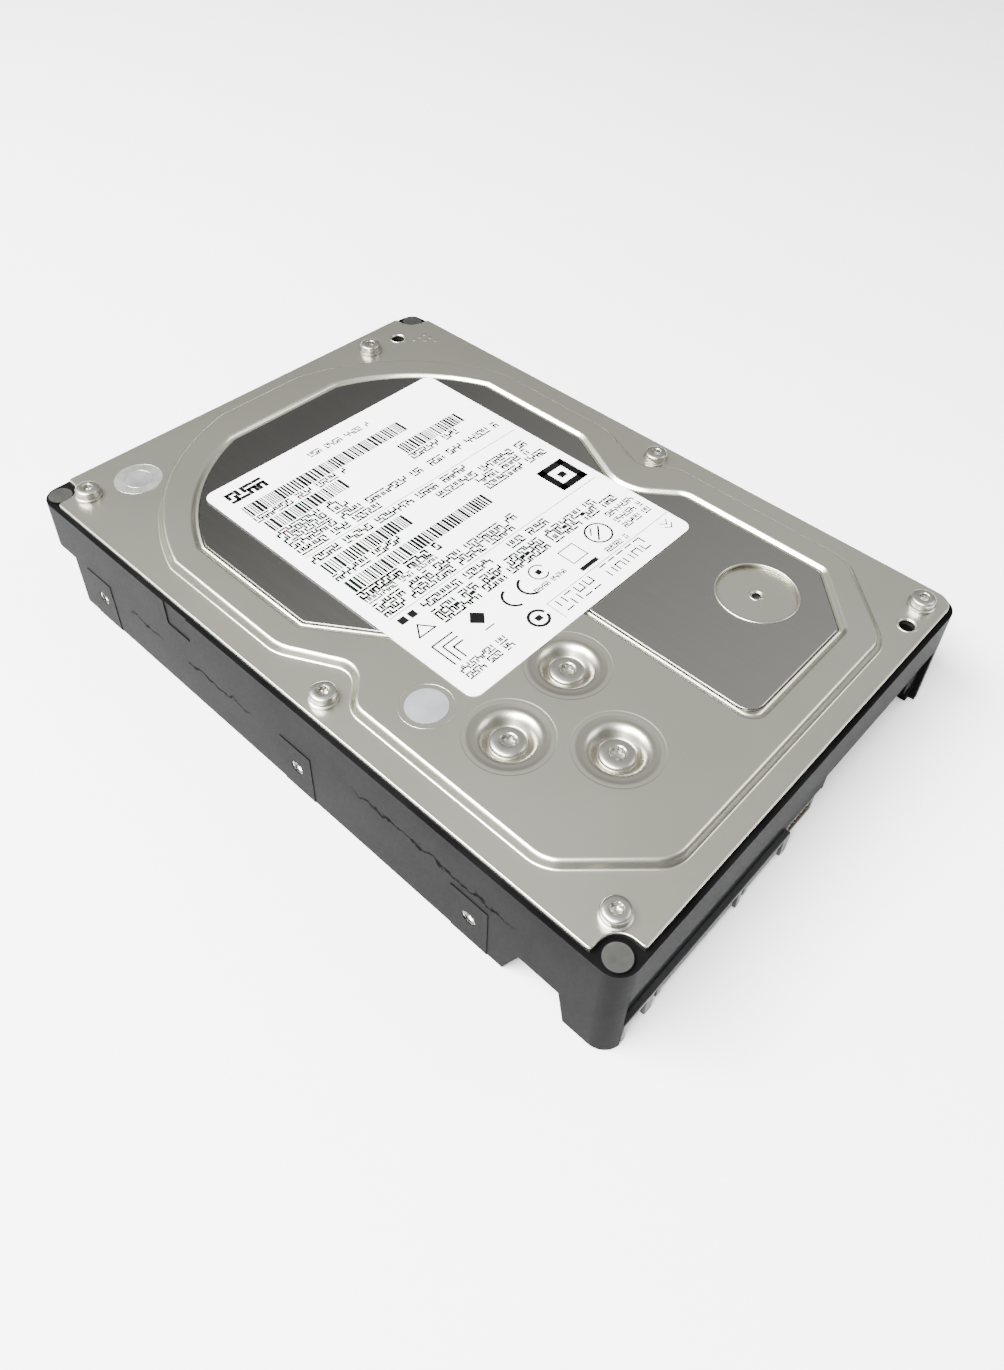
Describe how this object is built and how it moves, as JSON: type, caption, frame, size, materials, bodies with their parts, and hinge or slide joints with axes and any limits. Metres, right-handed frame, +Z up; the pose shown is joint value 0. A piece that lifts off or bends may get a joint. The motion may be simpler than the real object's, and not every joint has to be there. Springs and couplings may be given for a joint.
{
  "type": "hard disk drive",
  "caption": "Closed 3.5 inch hard disk drive: black cast base, stamped steel cover with label, disks on a motor hub, swinging head actuator and a circuit board with its connector underneath.",
  "frame": {"origin": "centre of the footprint, on the plane of the underside's mounting rails", "axes": "+Z up towards the cover and label, X across the width, Y along the length with the connectors at -Y"},
  "size_m": [0.1016, 0.147, 0.0261],
  "materials": {
    "cast_black": "die-cast aluminium with a semi-gloss black coat",
    "gasket_rubber": "moulded black rubber",
    "cover_steel": "satin stainless steel",
    "damper_steel": "dark reflective stainless steel",
    "label_film": "matt white printed label",
    "seal_film": "thin translucent film",
    "screw_steel": "nickel-plated steel screws",
    "filter_housing": "moulded grey plastic",
    "filter_cloth": "white nonwoven cloth",
    "bearing_bronze": "sintered bronze",
    "plain_steel": "ground steel",
    "bearing_steel": "polished bearing balls",
    "core_steel": "laminated electrical steel",
    "copper_wire": "enamelled copper wire",
    "amber_film": "amber polyimide flexible circuit",
    "bare_aluminium": "machined aluminium",
    "magnet_coat": "bonded magnet, dark coat",
    "disk_mirror": "aluminium disk with a polished mirror coat",
    "frame_plastic": "black moulded plastic",
    "flexure_steel": "thin stainless sheet",
    "slider_ceramic": "dark ceramic",
    "chip_epoxy": "black moulded chip package",
    "bracket_metal": "stamped aluminium",
    "yoke_nickel": "nickel-plated steel",
    "stop_rubber": "soft rubber",
    "ramp_polymer": "natural ivory polymer",
    "board_green": "green solder mask on glass-fibre board",
    "pad_foam": "soft grey foam pad",
    "connector_black": "black moulded connector body",
    "contact_gold": "gold-plated contacts"
  },
  "bodies": {
    "root": {"base_casting": "cast_black", "cover_gasket": "gasket_rubber", "top_cover": "cover_steel", "damper_plate": "damper_steel", "main_label": "label_film", "seal_stickers": "seal_film", "cover_screws": "screw_steel", "pivot_screw": "screw_steel", "yoke_screws": "screw_steel", "inner_screws": "screw_steel", "board_screws": "screw_steel", "breather_filter": "filter_housing", "recirculation_filter": "filter_cloth", "desiccant_pack": "filter_cloth", "bearing_sleeve": "bearing_bronze", "thrust_cap": "plain_steel", "pivot_shaft": "plain_steel", "pivot_inner_rings": "plain_steel", "latch_pin": "plain_steel", "yoke_posts": "plain_steel", "stator_core": "core_steel", "stator_coils": "copper_wire", "motor_flex": "amber_film", "head_connector": "frame_plastic", "controller_chip": "chip_epoxy", "memory_chip": "chip_epoxy", "motor_driver_chip": "chip_epoxy", "small_components": "chip_epoxy", "flex_bracket": "bracket_metal", "lower_yoke": "yoke_nickel", "upper_yoke": "yoke_nickel", "coil_magnets": "yoke_nickel", "crash_stops": "stop_rubber", "load_ramp": "ramp_polymer", "circuit_board": "board_green", "insulator_pad": "pad_foam", "drive_connector": "connector_black", "jumper_header": "connector_black", "connector_contacts": "contact_gold", "jumper_pins": "contact_gold"},
    "spindle": {"spindle_hub": "bare_aluminium", "spindle_shaft": "plain_steel", "rotor_magnet": "magnet_coat", "platter_1": "disk_mirror", "platter_2": "disk_mirror", "platter_3": "disk_mirror", "platter_4": "disk_mirror", "platter_spacers": "bare_aluminium", "disk_clamp": "bare_aluminium", "clamp_screws": "screw_steel"},
    "actuator": {"actuator_block": "bare_aluminium", "pivot_cartridge": "plain_steel", "pivot_balls": "bearing_steel", "voice_coil": "copper_wire", "coil_frame": "frame_plastic", "head_flexures": "flexure_steel", "head_sliders": "slider_ceramic", "preamp_chip": "chip_epoxy", "actuator_flex": "amber_film"},
    "latch": {"latch_lever": "frame_plastic"}
  },
  "joints": [
    {"name": "spindle_spin", "type": "hinge", "parent": "root", "child": "spindle", "pos_m": [0, 0.0227, 0.014], "axis": [0, 0, 1], "continuous": true},
    {"name": "actuator_swing", "type": "hinge", "parent": "root", "child": "actuator", "pos_m": [-0.0133, -0.0318, 0.0145], "axis": [0, 0, 1], "range_deg": [0, 34], "deforming": ["actuator_flex"]},
    {"name": "latch_swing", "type": "hinge", "parent": "root", "child": "latch", "pos_m": [-0.0408, -0.0264, 0.0148], "axis": [0, 0, 1], "range_deg": [-6, 0]}
  ]
}
